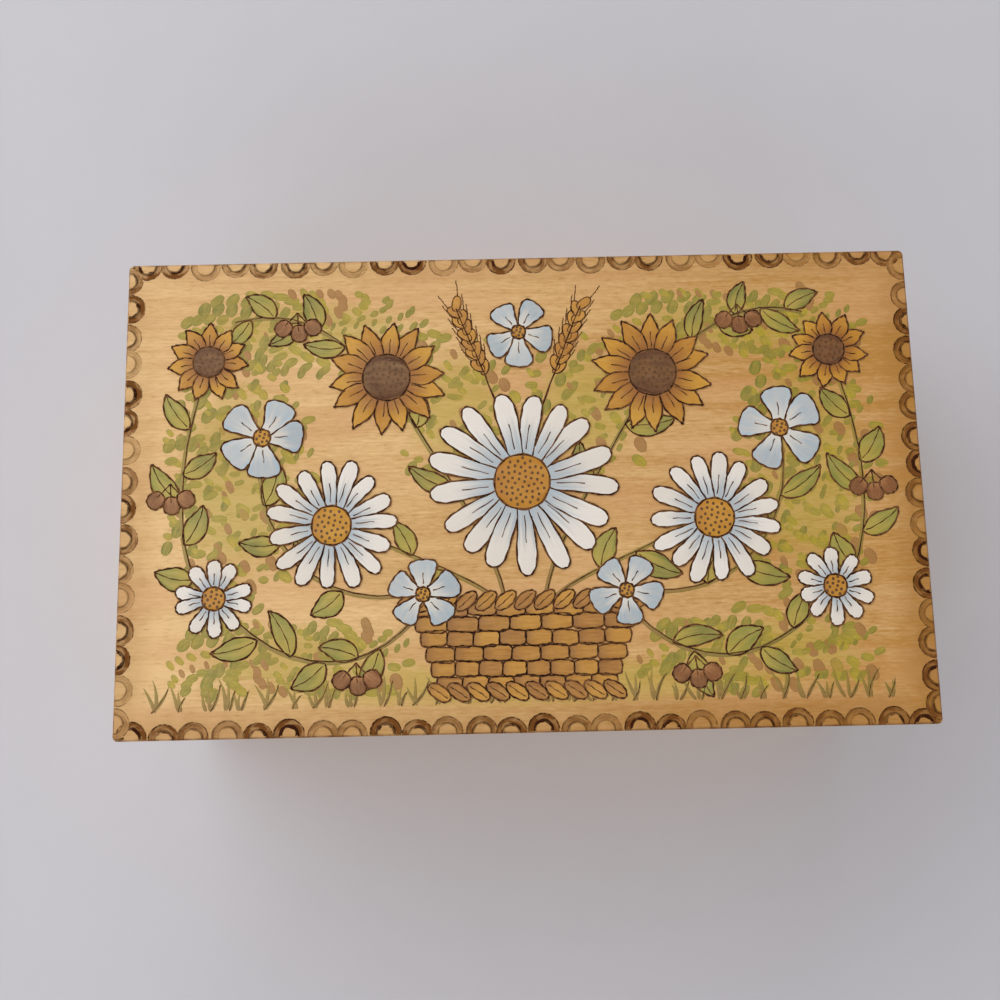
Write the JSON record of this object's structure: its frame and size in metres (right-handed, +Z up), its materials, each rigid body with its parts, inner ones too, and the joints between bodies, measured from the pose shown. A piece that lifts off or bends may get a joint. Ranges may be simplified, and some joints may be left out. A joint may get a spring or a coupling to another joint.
{
  "type": "wooden trinket box",
  "caption": "Rectangular wooden trinket box with a hinged lid: finger-jointed walls, a felt-lined floor, and a solid lid board edged with stamped half rings, for small things.",
  "frame": {"origin": "middle of the underside, on the surface that the box stands on", "axes": "+Z up, +X along the front to the right, -Y out of the front, hinges at +Y"},
  "size_m": [0.16, 0.0994, 0.06],
  "materials": {
    "lid_wood": "pale lime wood, burnt and painted, clear satin varnish",
    "case_wood": "pale lime wood, clear satin varnish",
    "plywood": "sanded birch plywood",
    "felt": "wool felt",
    "brass": "dull brass",
    "steel": "bright nail steel"
  },
  "bodies": {
    "case": {"front_wall": "case_wood", "back_wall": "case_wood", "left_wall": "case_wood", "right_wall": "case_wood", "bottom_panel": "plywood", "bottom_brads": "steel", "floor_lining": "felt", "left_hinge_case_leaf": "brass", "right_hinge_case_leaf": "brass", "left_hinge_pin": "steel", "right_hinge_pin": "steel", "case_hinge_screws": "brass"},
    "lid": {"lid_board": "lid_wood", "lid_front_rail": "case_wood", "lid_back_rail": "case_wood", "lid_left_rail": "case_wood", "lid_right_rail": "case_wood", "left_hinge_lid_leaf": "brass", "right_hinge_lid_leaf": "brass", "lid_hinge_screws": "brass"}
  },
  "joints": [
    {"name": "lid_hinge", "type": "hinge", "parent": "case", "child": "lid", "pos_m": [0, 0.0498, 0.04], "axis": [-1, 0, 0], "range_deg": [0, 188]}
  ]
}
